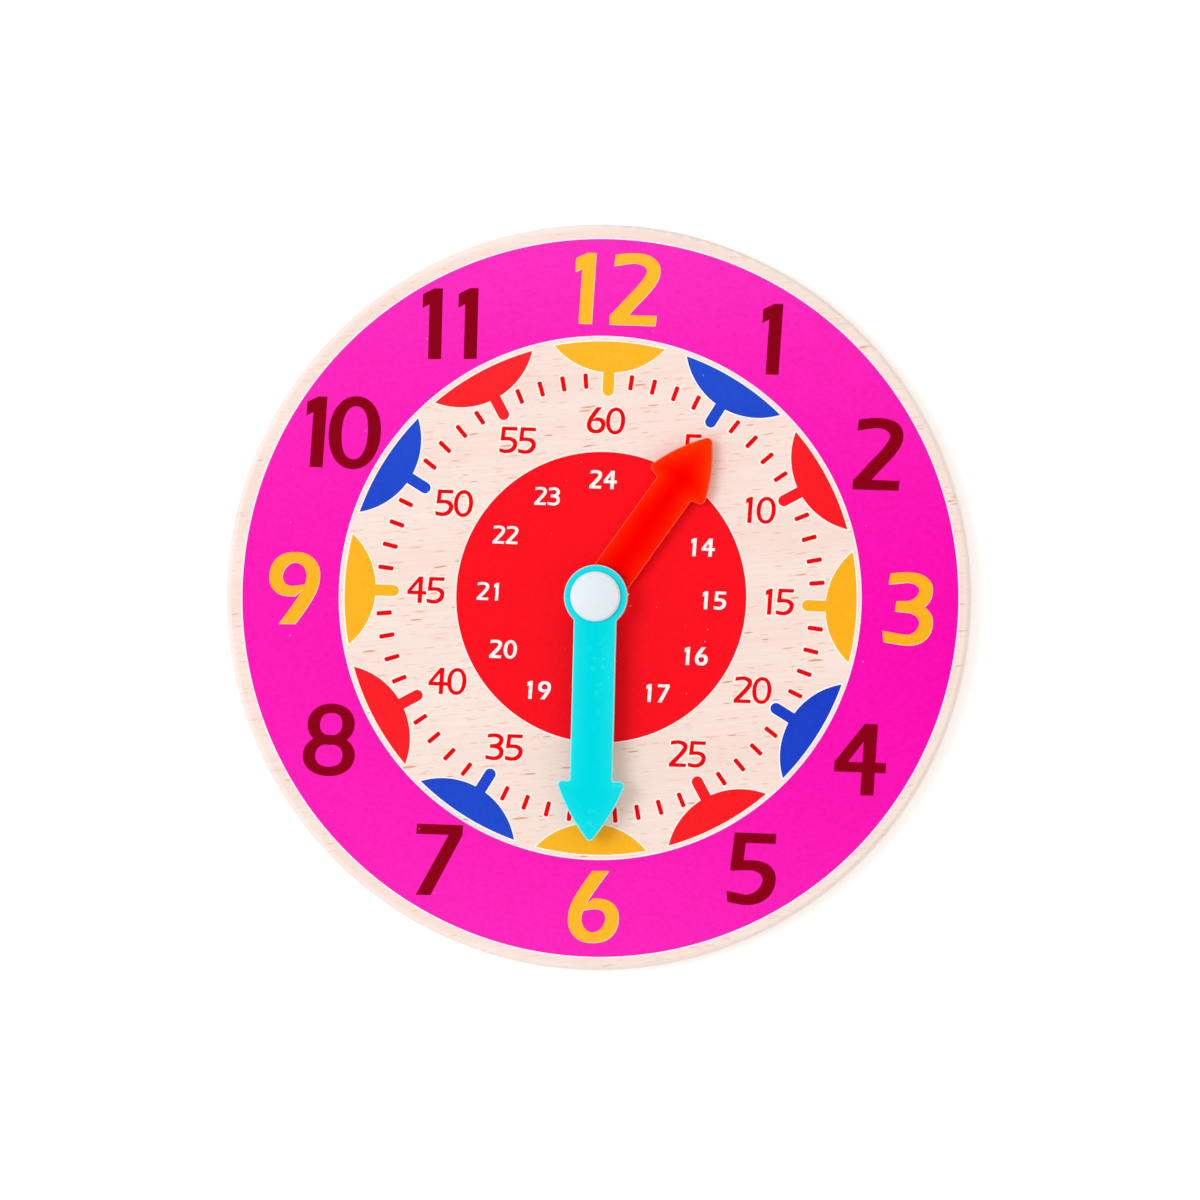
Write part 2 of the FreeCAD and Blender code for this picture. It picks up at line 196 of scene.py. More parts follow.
def normals_of(points):
    """Unit normals to the left of an open path, from the chords on both sides of each point."""
    chords = np.gradient(points, axis=0)
    chords /= np.linalg.norm(chords, axis=1)[:, None]
    return np.column_stack([-chords[:, 1], chords[:, 0]])


def stroke(nodes, stem, bar, start_cut=None, end_cut=None, fullness=1.0):
    """The closed outline of a pen stroke along a path.

    The pen's width is (|stem nx|^1.5 + |bar ny|^1.5)^(2/3) for the normal (nx, ny), so that it is the
    stem on an upright run and the bar on a level one. An end is cut square to the path, or along a
    line of this direction in degrees, so that 0 is a level cut and 90 an upright one.
    """
    middle = path(nodes, fullness=fullness)
    normals = normals_of(middle)
    for index, node in ((0, nodes[0]), (-1, nodes[-1])):
        heading = math.radians(node[2])
        normals[index] = (-math.sin(heading), math.cos(heading))
    sizes = np.abs(normals * (stem, bar)) ** 1.5
    half = sizes.sum(axis=1) ** (2 / 3) / 2
    offset = normals * half[:, None]
    for index, cut in ((0, start_cut), (-1, end_cut)):
        if cut is not None:
            line = np.array([math.cos(math.radians(cut)), math.sin(math.radians(cut))])
            offset[index] = line * half[index] / (line @ normals[index])
    return np.vstack([middle + offset, (middle - offset)[::-1]])


def loop(left, right, low, high, stem, bar):
    """Two halves of a closed bowl: the ring between an oval and a fuller oval inside it."""
    x, y = (left + right) / 2, (low + high) / 2
    halves = []
    for side, inner_side, down in ((left, left + stem, 180), (right, right - stem, 0)):
        outer = [(x, high, down), (side, y, -90), (x, low, 180 - down)]
        inner = [(x, high - bar, down), (inner_side, y, -90), (x, low + bar, 180 - down)]
        counter = path(inner, fullness=COUNTER_FULLNESS)
        halves.append(np.vstack([path(outer, fullness=FULLNESS), counter[::-1]]))
    return halves


# ---------------------------------------------------------------- digits, one unit high, foot at 0

def digit_0(stem, bar):
    return loop(-0.012, 0.72, -0.012, 1.012, stem, bar)


def digit_1(stem, bar):
    flag, top, thick = 0.094, 0.99, 1.37 * bar
    return [np.array([(0, 0), (stem, 0), (stem, top), (0.062, top), (-flag, 0.91), (-flag, 0.91 - thick),
                      (0, 0.96 - thick)])]


def digit_2(stem, bar):
    slope, top = 47.8, 1.007
    foot = stem * 0.5 / math.sin(math.radians(slope))
    start = (foot, bar * 0.9)
    return [stroke([(0.02, top - bar / 2 - 0.04, 12), (0.30, top - bar / 2, 0),
                    (0.662 - stem / 2, 0.757, -90), (0.335 + stem * 0.03, 0.383, slope - 180),
                    (*start, slope - 180)], stem, bar, start_cut=86, end_cut=0, fullness=1.06),
            np.array([(0, 0), (0.643, 0), (0.652, bar), (0, bar)])]


def digit_3(stem, bar):
    waist, top, foot = 0.53, 1.01, -0.006
    return [stroke([(0.04, top - bar / 2 - 0.03, 8), (0.29, top - bar / 2, 0),
                    (0.648 - stem / 2, 0.76, -90), (0.28, waist + 0.006, 180), (0.15, waist, 180)],
                   stem, bar, start_cut=84, end_cut=86, fullness=1.08),
            stroke([(0.15, waist, 0), (0.28, waist - 0.006, 0), (0.678 - stem / 2, 0.305, -90),
                    (0.32, foot + bar / 2, 180), (0.0, foot + bar / 2 + 0.04, 172)], stem, bar,
                   start_cut=86, end_cut=99, fullness=1.08)]


def digit_4(stem, bar):
    post, low = 0.56 - stem, 0.32
    return [np.array([(post, 0), (0.563, 0), (0.56, 1), (post, 1)]),
            np.array([(-0.01, low), (0.714, low), (0.71, low + bar), (-0.01, low + bar)]),
            np.array([(-0.01, low + bar), (stem * 0.96, low + bar), (post + stem * 0.96, 1), (post, 1)])]


def digit_5(stem, bar):
    return [np.array([(0.048, 1 - bar), (0.63, 1 - bar), (0.63, 1), (0.048, 1)]),
            np.array([(0.018, 0.61 - bar), (0.012 + stem, 0.62 - bar), (0.035 + stem, 1), (0.048, 1)]),
            stroke([(0.03, 0.603 - bar / 2, 7), (0.31, 0.62 - bar / 2, 0),
                    (0.665 - stem / 2, 0.355, -90), (0.25, bar / 2 - 0.006, 180),
                    (0.0, bar / 2 + 0.034, 170)], stem, bar, end_cut=99, fullness=1.04)]


def digit_6(stem, bar):
    right = 0.706 - stem / 2
    return [stroke([(0.435, 1.0, -126), (0.17, 0.6, -119), (stem / 2, 0.33, -90), (0.353, bar / 2, 0),
                    (right, 0.335, 90)], stem, bar, start_cut=0, fullness=1.05),
            stroke([(right, 0.335, 90), (0.378, 0.614 - bar / 2, 180), (0.248, 0.602 - bar / 2, 188)],
                   stem, bar, end_cut=42, fullness=1.12)]


def digit_7(stem, bar):
    top = 0.992
    return [np.array([(-0.03, top - bar), (0.617, top - bar), (0.617, top), (-0.03, top)]),
            np.array([(0.02, 0), (0.02 + stem * 1.13, 0), (0.617, top - bar),
                      (0.617 - stem * 1.06, top - bar)])]


def digit_8(stem, bar):
    waist, upright, level = 0.43, stem * 0.95, bar * 0.93
    return (loop(0.024, 0.684, waist, 1.008, upright, level)
            + loop(-0.014, 0.715, -0.008, waist + bar, upright, level))


def digit_9(stem, bar):
    return [np.array([0.706, 1.0]) - outline for outline in digit_6(stem, bar)]


DIGITS = {str(number): shape for number, shape in enumerate(
    (digit_0, digit_1, digit_2, digit_3, digit_4, digit_5, digit_6, digit_7, digit_8, digit_9))}


def numeral(entry, style, margin=0.0):
    """The outlines of one numeral in its place, drawn margin wider all round."""
    height, stem, bar = style
    text, turn, foot, *edges = entry
    middle = np.array([(edges[0] + edges[-1]) / 2 + 0.34 * height, foot + height / 2])
    shapes = []
    for letter, edge in zip(text, edges):
        for outline in DIGITS[letter](stem / height, bar / height):
            shape = outline @ np.array([[1, 0], [LEAN, 1]]) * height
            shapes.append(turned(widened(shape, margin) + (edge, foot) - middle, turn) + middle)
    return shapes


def numerals(entries, style, margin=0.0):
    """The outlines of several numerals."""
    return [shape for entry in entries for shape in numeral(entry, style, margin)]


def area_of(outline):
    """Twice the signed area inside a closed outline, positive where it runs anticlockwise."""
    x, y = outline.T
    return float(np.sum(x * np.roll(y, -1) - np.roll(x, -1) * y))


def widened(outline, margin):
    """A closed outline moved outwards by margin, each corner along its two sides' mean normal."""
    if not margin:
        return outline
    if area_of(outline) < 0:
        outline = outline[::-1]
    sides = np.roll(outline, -1, axis=0) - outline
    sides /= np.linalg.norm(sides, axis=1)[:, None] + 1e-12
    out = np.column_stack([sides[:, 1], -sides[:, 0]])
    mean = out + np.roll(out, 1, axis=0)
    mean /= np.maximum((mean ** 2).sum(axis=1) / 2, 0.6)[:, None]
    return outline + mean * margin


# ---------------------------------------------------------------- printed shapes

def half_moon(hour, margin=0.0):
    """A half-moon and its round-ended pointer, turned to its hour.

    The moon is what the circles of MOON_OUTER and MOON_BOWL share, so its corners are where they cross.
    """
    outer, bowl = MOON_OUTER + margin, MOON_BOWL + margin
    cross = (outer ** 2 + MOON_BOWL_AT ** 2 - bowl ** 2) / (2 * outer * MOON_BOWL_AT)
    half = math.degrees(math.acos(cross))
    outer_side = arc(outer, 90 + half, 90 - half, 24)
    start = math.degrees(math.atan2(outer_side[-1, 1] - MOON_BOWL_AT, outer_side[-1, 0]))
    bowl_side = arc(bowl, start, -180 - start, 36, (0.0, MOON_BOWL_AT))
    moon = np.vstack([outer_side[:-1], bowl_side[:-1]])
    radius = POINTER_WIDTH / 2 + margin
    tip, root = POINTER_TIP + POINTER_WIDTH / 2, MOON_OUTER - 4
    pointer = np.vstack([arc(radius, 180, 360, 16, (0.0, tip)), [(radius, root), (-radius, root)]])
    return [turned(shape, hour * 30) for shape in (moon, pointer)]


def tick(minute, margin=0.0):
    """A short bar with softened corners, turned to its minute."""
    x, low, high = TICK_WIDTH / 2 + margin, TICK_FROM - margin, TICK_TO + margin
    r = TICK_CORNER + margin / 2
    corners = ((x - r, high - r, 0), (r - x, high - r, 90), (r - x, low + r, 180), (x - r, low + r, 270))
    bar = np.vstack([arc(r, start, start + 90, 4, (cx, cy)) for cx, cy, start in corners])
    return turned(bar, minute * 6)


def ticks(margin=0.0):
    """The bars of every minute that has no half-moon."""
    return [tick(minute, margin) for minute in range(60) if minute % 5]


# ---------------------------------------------------------------- meshes

def new_piece(name, points, faces, material, smooth_from=None):
    """A mesh object from points in millimetres and lists of faces, shaded smooth below an edge angle."""
    mesh = bpy.data.meshes.new(name)
    corners = [face for group in faces for face in group.tolist()]
    mesh.from_pydata((np.asarray(points) * MM).tolist(), [], corners)
    if smooth_from is not None:
        mesh.shade_smooth()
        mesh.set_sharp_from_angle(angle=math.radians(smooth_from))
    mesh.materials.append(material)
    piece = bpy.data.objects.new(name, mesh)
    bpy.context.scene.collection.objects.link(piece)
    return piece


def filled(outlines):
    """Corners and triangles of the union of closed outlines."""
    outlines = [outline if area_of(outline) > 0 else outline[::-1] for outline in outlines]
    ends = np.cumsum([0] + [len(outline) for outline in outlines]).tolist()
    loops = [list(range(first, last)) for first, last in zip(ends, ends[1:])]
    return cut_sheet(np.vstack(outlines), loops, lambda by: by)


def plate_between(outer, hole, spots):
    """Corners and triangles of a flat plate with a hole, with extra points at spots."""
    ends = (0, len(outer), len(outer) + len(hole))
    loops = [list(range(first, last)) for first, last in zip(ends, ends[1:])]
    points = np.vstack([outer, hole] if spots is None else [outer, hole, spots])
    return cut_sheet(points, loops, lambda by: by == [0])


def cut_sheet(points, loops, wanted):
    """Triangles between the points, along the loops, where wanted says so of the loops round them."""
    spots = [Vector(point) for point in points.tolist()]
    corners, _, faces, _, _, covered = delaunay_2d_cdt(spots, [], loops, 1, 1e-6)
    kept = np.array([face for face, by in zip(faces, covered) if wanted(by)])
    return np.array([tuple(corner) for corner in corners]), kept


def rim_of(triangles):
    """The directed edges that belong to one triangle only, with the shape on their left."""
    edges = np.vstack([triangles[:, [0, 1]], triangles[:, [1, 2]], triangles[:, [2, 0]]])
    size = triangles.max() + 1
    back = edges[:, 1] * size + edges[:, 0]
    forth = edges[:, 0] * size + edges[:, 1]
    return edges[~np.isin(forth, back)]


def film(name, outlines, top, material, shift=PRINT_SHIFT):
    """A thin closed film of ink on the board's face, over the union of the outlines."""
    corners, triangles = filled(outlines)
    used, triangles = np.unique(triangles, return_inverse=True)
    triangles = triangles.reshape(-1, 3)
    corners = corners[used] + shift
    count = len(corners)
    points = np.vstack([np.column_stack([corners, np.full(count, FACE + z)]) for z in (0.0, top)])
    rim = rim_of(triangles)
    walls = np.column_stack([rim[:, 0], rim[:, 1], rim[:, 1] + count, rim[:, 0] + count])
    piece = new_piece(name, points, [triangles[:, ::-1], triangles + count, walls], material)
    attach(piece, "dial")
    return piece


def band_film(name, inner, outer, top, material, centre=PRINT_SHIFT, steps=360):
    """A flat ring of ink: a thin rectangle carried round its centre."""
    corners = [(inner, 0.0), (outer, 0.0), (outer, top), (inner, top)]
    turn = np.linspace(0, 2 * np.pi, steps, endpoint=False)
    points = np.array([[(r * c + centre[0], r * s + centre[1], FACE + z) for r, z in corners]
                       for c, s in zip(np.cos(turn), np.sin(turn))]).reshape(-1, 3)
    around, side = np.meshgrid(np.arange(steps), np.arange(4), indexing="ij")
    a, b = around * 4, (around + 1) % steps * 4
    quads = np.stack([a + side, b + side, b + (side + 1) % 4, a + (side + 1) % 4], axis=-1)
    piece = new_piece(name, points, [quads.reshape(-1, 4)], material)
    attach(piece, "dial")
    return piece


# ---------------------------------------------------------------- hands

def half_outline(hand):
    """Nodes (x, y, heading) up the right side of a hand, from the foot of its hub to its point."""
    half, point, radius = hand["shaft"] / 2, hand["point"], hand["corner"]
    shoulder = point - hand["head"]
    neck_x = half + NECK_ROUND
    neck_y = math.sqrt((HUB_RADIUS + NECK_ROUND) ** 2 - neck_x ** 2)
    hub_x, hub_y = (value * HUB_RADIUS / (HUB_RADIUS + NECK_ROUND) for value in (neck_x, neck_y))
    leaving_hub = math.degrees(math.atan2(hub_y, hub_x)) + 90

    barb = np.array([hand["width"] / 2, shoulder + hand["sweep"]])
    rear = math.degrees(math.atan2(hand["sweep"], barb[0] - half))
    inner_cut = hand["inner"] * math.tan(math.radians(90 - rear) / 2)
    chord = np.array([0, point]) - barb
    bow = math.degrees(2 * math.atan(2 * hand["bulge"] / np.linalg.norm(chord)))
    along = math.degrees(math.atan2(chord[1], chord[0]))
    side_start, side_end = along - bow, along + bow
    barb_cut = radius * math.tan(math.radians(side_start - rear) / 2)
    tip_turn = math.radians(180 - side_end)
    tip_cut = radius * math.tan(tip_turn)
    apex = point - radius / math.cos(tip_turn) + radius

    def direction(heading):
        return np.array([math.cos(math.radians(heading)), math.sin(math.radians(heading))])

    inner_end = np.array([half, shoulder]) + direction(rear) * inner_cut
    before_barb = barb - direction(rear) * barb_cut
    after_barb = barb + direction(side_start) * barb_cut
    before_tip = np.array([0, point]) - direction(side_end) * tip_cut
    return [
        (0, -HUB_RADIUS, 0), (HUB_RADIUS, 0, 90), (hub_x, hub_y, leaving_hub),
        (half, neck_y, 90), (half, shoulder - inner_cut, 90), (*inner_end, rear),
        (*before_barb, rear), (*after_barb, side_start), (*before_tip, side_end), (0, apex, 180),
    ]


def hand_outline(hand):
    """The closed outline of a hand, anticlockwise, and its outward normals."""
    right = path(half_outline(hand), steps=12)
    left = right[-2:0:-1] * (-1, 1)
    outline = np.vstack([right, left])
    ahead = np.roll(outline, -1, axis=0) - outline
    ahead /= np.linalg.norm(ahead, axis=1)[:, None]
    mean = ahead + np.roll(ahead, 1, axis=0)
    mean /= np.linalg.norm(mean, axis=1)[:, None]
    return outline, np.column_stack([mean[:, 1], -mean[:, 0]])


def distance_to(outline, points):
    """The distance of each point from a closed outline."""
    start = outline
    side = np.roll(outline, -1, axis=0) - start
    share = ((points[:, None] - start) * side).sum(axis=2) / (side ** 2).sum(axis=1)
    nearest = start + np.clip(share, 0, 1)[..., None] * side
    return np.linalg.norm(points[:, None] - nearest, axis=2).min(axis=1)


def front_fall(depth):
    """How far a hand's front lies below its middle at this distance in from the outline.

    It is a quarter circle of EDGE_ROUND at the edge, and CROWN * exp(-depth / CROWN_REACH) behind it.
    """
    inside = np.clip(1 - depth / EDGE_ROUND, 0, 1)
    return EDGE_ROUND * (1 - np.sqrt(1 - inside ** 2)) + CROWN * np.exp(-depth / CROWN_REACH)


def lies_inside(outline, points):
    """Whether each point lies inside a closed outline: a ray from it crosses an odd number of sides."""
    (start_x, start_y), (end_x, end_y) = outline.T, np.roll(outline, -1, axis=0).T
    x, y = points[:, :1], points[:, 1:]
    crossing = start_x + (y - start_y) * (end_x - start_x) / (end_y - start_y + 1e-12)
    return (((start_y > y) != (end_y > y)) & (x < crossing)).sum(axis=1) % 2 == 1


def wall_faces(count, levels):
    """Quads round a wall of so many levels, each of count points, anticlockwise seen from the front."""
    around = np.arange(count)
    onward = (around + 1) % count
    rows = np.arange(levels - 1)[:, None] * count
    above = rows + count
    corners = [rows + around, rows + onward, above + onward, above + around]
    return np.stack(corners, axis=-1).reshape(-1, 4)


def hand_wall(outline, normals, back, front):
    """Levels of a hand's wall: a quarter circle of BACK_ROUND, and one of EDGE_ROUND with the crown."""
    quarter = np.radians(np.linspace(0, 90, 7))
    coarse = quarter[::3]
    edge_insets = EDGE_ROUND * (1 - np.cos(quarter))
    insets = np.concatenate([BACK_ROUND * (1 - np.sin(coarse)), edge_insets])
    heights = np.concatenate([back + BACK_ROUND * (1 - np.cos(coarse)), front - front_fall(edge_insets)])
    rings = outline[None] - normals[None] * insets[:, None, None]
    level = np.broadcast_to(heights[:, None, None], (len(heights), len(outline), 1))
    return np.concatenate([rings, level], axis=2)


def make_hand(name, body, hand, material):
    """A moulded hand: walls rounded at both edges, a crowned front with a bore, and a flat back."""
    low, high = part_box(name)
    back, front = low.z / MM, high.z / MM
    outline, normals = hand_outline(hand)
    wall = hand_wall(outline, normals, back, front)

    bore = arc(HAND_BORE, 0, 360, 72)[:-1]
    reach = HUB_RADIUS + 2 * MESH_STEP
    columns, rows = np.arange(-reach, reach + 0.1, MESH_STEP), np.arange(-7, hand["point"], MESH_STEP)
    spots = np.stack(np.meshgrid(columns, rows), axis=-1).reshape(-1, 2)
    clear_of_edge = distance_to(outline, spots) > EDGE_ROUND + MESH_CLEAR[0]
    clear_of_bore = np.hypot(*spots.T) > HAND_BORE + MESH_CLEAR[1]
    spots = spots[lies_inside(outline, spots) & clear_of_edge & clear_of_bore]
    plate, plate_faces = plate_between(wall[-1, :, :2], bore, spots)
    plate_front = np.column_stack([plate, front - front_fall(distance_to(outline, plate))])
    base, base_faces = plate_between(wall[0, :, :2], bore, None)
    plate_back = np.column_stack([base, np.full(len(base), back)])

    bore_back = np.column_stack([bore, np.full(len(bore), back)])
    bore_front = np.column_stack([bore, front - front_fall(distance_to(outline, bore))])
    bore_wall = np.vstack([bore_back, bore_front])

    parts = [(wall.reshape(-1, 3), wall_faces(len(outline), len(wall))), (plate_front, plate_faces),
             (plate_back, base_faces[:, ::-1]), (bore_wall, wall_faces(len(bore), 2)[:, ::-1])]
    starts = np.cumsum([0] + [len(points) for points, _ in parts])
    points = np.vstack([points for points, _ in parts])
    # nearness to the outline, from which the material paints a glow and a highlight along the edge
    rim = np.exp(-distance_to(outline, points[:, :2]) / RIM_REACH)
    along = points[:, 1] / hand["point"]
    points[:, :2] = turned(points[:, :2], hand["clockwise"])
    faces = [faces + start for (_, faces), start in zip(parts, starts)]
    piece = new_piece(f"{name}_moulding", points, faces, material)
    give_shade(piece, "rim", rim)
    give_shade(piece, "along", along)
    weld(piece, 30)
    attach(piece, body)
    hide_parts(name)
    return piece


def make_gate_mark(material):
    """The stub that is left where the minute hand was cut from its sprue.

    Seen from the front it is a raised cosine on the hub's side, and it draws in towards its front.
    """
    direction, reach, half = GATE_MARK
    low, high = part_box("minute_hand")
    back, front = low.z / MM, high.z / MM
    across = np.linspace(-1, 1, 17)
    root = math.sqrt(HUB_RADIUS ** 2 - half ** 2) - GATE_ROOT
    bump = HUB_RADIUS - root + reach * (1 + np.cos(np.pi * across)) / 2
    # heights, and how much of its size the stub has at each
    levels = ((back + 0.2, 1.0), (front - 0.7, 1.0), (front - 0.45, 0.75), (front - 0.35, 0.3))
    plan = np.vstack([np.column_stack([bump, across * half]), [(0.0, half), (0.0, -half)]])
    points = np.vstack([np.column_stack([plan * (1.0, share) + (root, 0.0), np.full(len(plan), z)])
                        for z, share in levels])
    points[:, :2] = turned(points[:, :2], -direction)
    around = np.arange(len(plan))
    ends = np.stack([around[::-1], around + len(plan) * (len(levels) - 1)])
    faces = [wall_faces(len(plan), len(levels)), ends]
    piece = new_piece("minute_hand_gate_mark", points, faces, material, 30)
    # painted highlight: the stub takes the pale tone of the hands' painted edge
    give_shade(piece, "rim", np.full(len(points), GATE_HIGHLIGHT))
    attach(piece, "minute")
    return piece


def give_shade(piece, name, values):
    """Stores a number for each point of the mesh, which the material reads."""
    shade = piece.data.attributes.new(name, "FLOAT", "POINT")
    shade.data.foreach_set("value", values.astype(np.float32))


def weld(piece, angle):
    """Joins corners that lie together, and shades smooth below an edge angle."""
    soft = bmesh.new()
    soft.from_mesh(piece.data)
    bmesh.ops.remove_doubles(soft, verts=soft.verts, dist=2e-7)
    soft.to_mesh(piece.data)
    soft.free()
    piece.data.shade_smooth()
    piece.data.set_sharp_from_angle(angle=math.radians(angle))


# ---------------------------------------------------------------- materials

def display(red, green, blue):
    """A colour given as 0 to 255 on screen, in the linear values that shaders take."""
    shares = [value / 255 for value in (red, green, blue)]
    return tuple(s / 12.92 if s <= 0.04045 else ((s + 0.055) / 1.055) ** 2.4 for s in shares) + (1.0,)


class Shading:
    """A node tree and short ways to add nodes to it."""

    def __init__(self, tree):
        self.nodes, self.links = tree.nodes, tree.links

    def node(self, kind, inputs=(), **settings):
        """Adds a node. An input is a value or another node's output."""
        made = self.nodes.new(f"ShaderNode{kind}")
        for key, value in settings.items():
            setattr(made, key, value)
        for socket, value in dict(inputs).items():
            if isinstance(value, bpy.types.NodeSocket):
                self.links.new(value, made.inputs[socket])
            else:
                made.inputs[socket].default_value = value
        return made

    def maths(self, operation, first, second=0.0, clamp=False):
        return self.node("Math", {0: first, 1: second}, operation=operation, use_clamp=clamp).outputs[0]

    def vector(self, operation, first, second=(0, 0, 0)):
        return self.node("VectorMath", {0: first, 1: second}, operation=operation).outputs

    def mix(self, share, first, second, blend="MIX"):
        made = self.node("Mix", {0: share, 6: first, 7: second}, data_type="RGBA", blend_type=blend)
        return made.outputs[2]

    def seen(self):
        """1 for what is seen directly, in a reflection or through something clear, and 0 otherwise."""
        rays = self.node("LightPath").outputs
        bent = self.maths("MAXIMUM", rays["Is Glossy Ray"], rays["Is Transmission Ray"])
        return self.maths("MAXIMUM", rays["Is Camera Ray"], bent)


class Finish(Shading):
    """A material and short ways to give it tones, noise and relief."""

    def __init__(self, name, **constants):
        self.material = bpy.data.materials.new(name)
        self.material.use_nodes = True
        super().__init__(self.material.node_tree)
        self.shader = self.nodes["Principled BSDF"]
        for socket, value in constants.items():
            self.shader.inputs[socket.replace("_", " ")].default_value = value

    def scaled(self, size, turn=0.0):
        """Object coordinates in units of size millimetres along, across and through, turned about Z."""
        source = self.node("TexCoord").outputs["Object"]
        rotation = (0, 0, math.radians(-turn))
        turned_by = self.node("Mapping", {"Vector": source, "Rotation": rotation}).outputs[0]
        steps = tuple(1 / (MM * value) for value in size)
        return self.node("Mapping", {"Vector": turned_by, "Scale": steps}).outputs[0]

    def noise(self, vector, detail=2.0, rough=0.5):
        settings = {"Vector": vector, "Scale": 1.0, "Detail": detail, "Roughness": rough}
        return self.node("TexNoise", settings).outputs["Fac"]

    def cells(self, vector):
        """Distance to the nearest of scattered points, and that point's own three random numbers."""
        made = self.node("TexVoronoi", {"Vector": vector, "Scale": 1.0, "Randomness": 1.0}).outputs
        return made["Distance"], self.node("SeparateColor", {"Color": made["Color"]}).outputs

    def joined(self, x, y, z):
        return self.node("CombineXYZ", {"X": x, "Y": y, "Z": z}).outputs[0]

    def spread(self, value, low, high, to_low=0.0, to_high=1.0, smooth=False):
        """Maps low..high to to_low..to_high and stays within them."""
        limits = {"Value": value, "From Min": low, "From Max": high, "To Min": to_low, "To Max": to_high}
        kind = "SMOOTHSTEP" if smooth else "LINEAR"
        return self.node("MapRange", limits, interpolation_type=kind).outputs["Result"]

    def radius(self):
        """Distance from the pivot's axis in millimetres."""
        flat = self.vector("MULTIPLY", self.scaled((1.0, 1.0, 1.0)), (1, 1, 0))[0]
        return self.vector("LENGTH", flat)["Value"]

    def bump(self, height, distance, strength=1.0, under=None):
        inputs = {"Height": height, "Distance": distance * MM, "Strength": strength}
        if under is not None:
            inputs["Normal"] = under
        return self.node("Bump", inputs).outputs["Normal"]

    def give(self, **sockets):
        for socket, value in sockets.items():
            self.links.new(value, self.shader.inputs[socket.replace("_", " ")])
        return self.material


def grain_height(finish):
    """Fine lines of the sanded grain, from 0 to 1."""
    return finish.noise(finish.scaled((9.0, 0.28, 2.0), GRAIN_TURN), detail=3.0, rough=0.6)


def flecks(finish, size, share, offset):
    """How much of a fleck lies at each place: ellipses in stretched cells, a share of them left out."""
    place = finish.scaled(size, GRAIN_TURN)
    wander = finish.noise(finish.scaled((6.0, 3.0, 6.0), GRAIN_TURN), detail=1.0)
    sway = finish.joined(offset, finish.maths("MULTIPLY", wander, 1.4), offset)
    distance, chance = finish.cells(finish.vector("ADD", place, sway)[0])
    reach = finish.spread(chance["Red"], 0.0, 1.0, 0.16, 0.42)
    inside = finish.spread(finish.maths("DIVIDE", distance, reach), 0.5, 1.0, 1.0, 0.0, smooth=True)
    chosen = finish.maths("GREATER_THAN", chance["Green"], share)
    strength = finish.spread(chance["Blue"], 0.0, 1.0, 0.35, 1.0)
    return finish.maths("MULTIPLY", finish.maths("MULTIPLY", inside, chosen), strength)


def beech():
    """Pale steamed beech: soft bands, fine lines, short flecks along the grain, and an edge painted
    paler, as painted light that lifts the shade on the rounded rim.
    """
    wood = Finish("pale_beech", Roughness=0.5, Specular_IOR_Level=0.2)
    bands = wood.noise(wood.scaled((70.0, 9.0, 30.0), GRAIN_TURN), detail=3.0)
    cream = wood.mix(wood.spread(bands, 0.32, 0.68), display(253, 234, 226), display(249, 224, 213))
    fine = grain_height(wood)
    lined = wood.mix(wood.spread(fine, 0.35, 0.75, 0.0, 0.4), cream, display(242, 206, 192))
    blush = flecks(wood, size=(7.5, 0.42, 2.6), share=0.45, offset=8.1)
    small = flecks(wood, size=(3.4, 0.46, 1.4), share=0.55, offset=0.0)
    large = flecks(wood, size=(5.2, 0.72, 2.2), share=0.78, offset=3.7)
    spotted = wood.mix(wood.maths("MULTIPLY", blush, 0.5), lined, display(243, 196, 184))
    spotted = wood.mix(wood.maths("MULTIPLY", small, 0.6), spotted, display(236, 164, 108))
    spotted = wood.mix(wood.maths("MULTIPLY", large, 0.8), spotted, display(216, 134, 72))
    # painted light: the rounded rim is painted paler so that it does not fall into shade
    painted_rim_light = wood.spread(wood.radius(), *PAINTED_RIM_LIGHT, 0.0, 0.42, smooth=True)
    spotted = wood.mix(painted_rim_light, spotted, display(255, 247, 240))
    relief = wood.bump(wood.maths("SUBTRACT", fine, wood.maths("MULTIPLY", large, 0.5)), 0.02, 0.5)
    rough = wood.spread(fine, 0.3, 0.7, 0.46, 0.58)
    return wood.give(Base_Color=spotted, Normal=relief, Roughness=rough)


